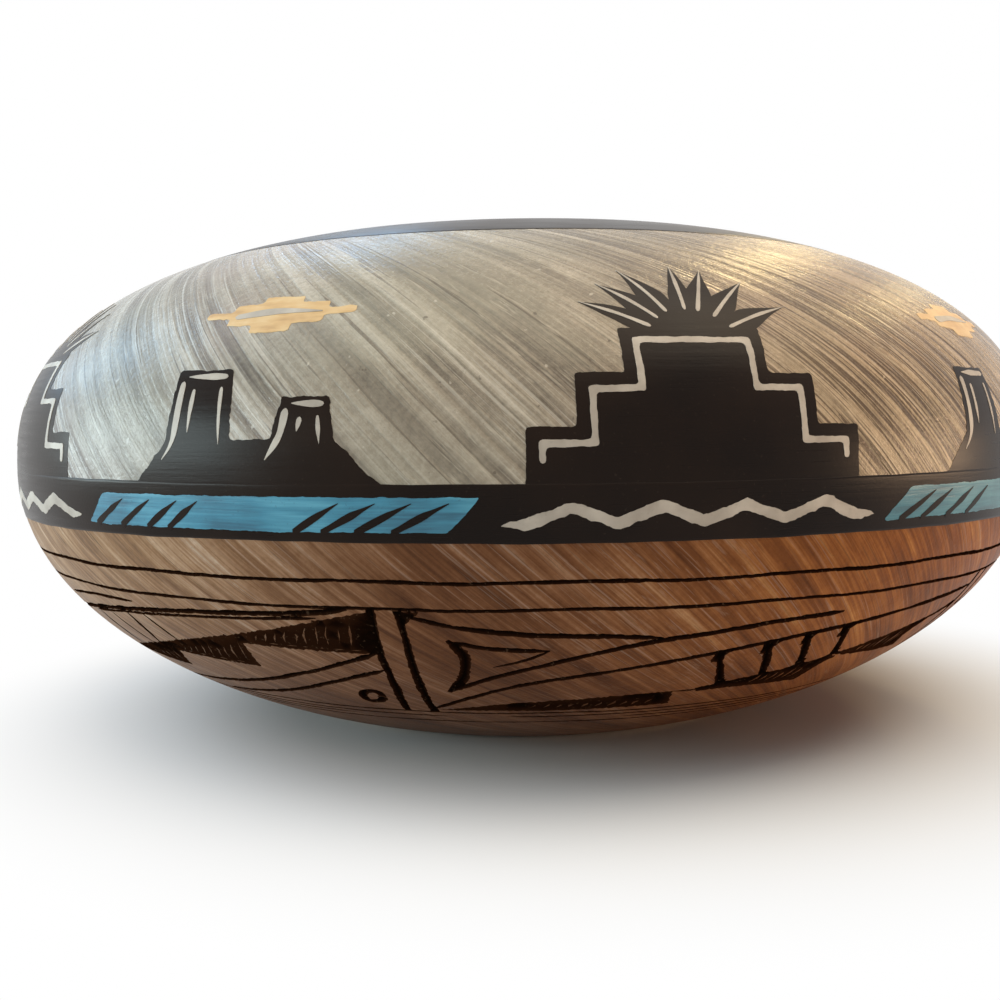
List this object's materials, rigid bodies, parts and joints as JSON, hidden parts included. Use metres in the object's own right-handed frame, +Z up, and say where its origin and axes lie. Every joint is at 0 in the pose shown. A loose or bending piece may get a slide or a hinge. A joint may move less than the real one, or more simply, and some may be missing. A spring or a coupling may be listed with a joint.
{
  "type": "pottery pot",
  "caption": "Squat round pottery pot with an open mouth, brushed grey shoulder, black belt and rim, painted frieze, and a brown lower half for etched lines.",
  "frame": {"origin": "centre of the flat foot, on the surface that the pot stands on", "axes": "+Z up along the pot's axis, -Y towards the viewer, +X to the viewer's right"},
  "size_m": [0.1786, 0.1785, 0.0808],
  "materials": {
    "bare_clay": "matt bisque",
    "grey_slip": "satin, brushed streaks",
    "brown_slip": "satin, brushed streaks",
    "black_paint": "semi-gloss",
    "turquoise_paint": "semi-gloss",
    "white_paint": "satin",
    "ochre_paint": "satin"
  },
  "bodies": {
    "root": {"clay_body": "bare_clay", "lower_slip": "brown_slip", "belly_belt": "black_paint", "shoulder_slip": "grey_slip", "rim_band": "black_paint", "painted_terrace_1": "black_paint", "white_zigzag_1": "white_paint", "painted_buttes_1": "black_paint", "cloud_bar_1": "ochre_paint", "turquoise_stripe_1": "turquoise_paint", "painted_terrace_2": "black_paint", "white_zigzag_2": "white_paint", "painted_buttes_2": "black_paint", "cloud_bar_2": "ochre_paint", "turquoise_stripe_2": "turquoise_paint", "painted_terrace_3": "black_paint", "white_zigzag_3": "white_paint", "painted_buttes_3": "black_paint", "cloud_bar_3": "ochre_paint", "turquoise_stripe_3": "turquoise_paint", "painted_terrace_4": "black_paint", "white_zigzag_4": "white_paint", "painted_buttes_4": "black_paint", "cloud_bar_4": "ochre_paint", "turquoise_stripe_4": "turquoise_paint", "painted_terrace_5": "black_paint", "white_zigzag_5": "white_paint", "painted_buttes_5": "black_paint", "cloud_bar_5": "ochre_paint", "turquoise_stripe_5": "turquoise_paint"}
  },
  "joints": []
}
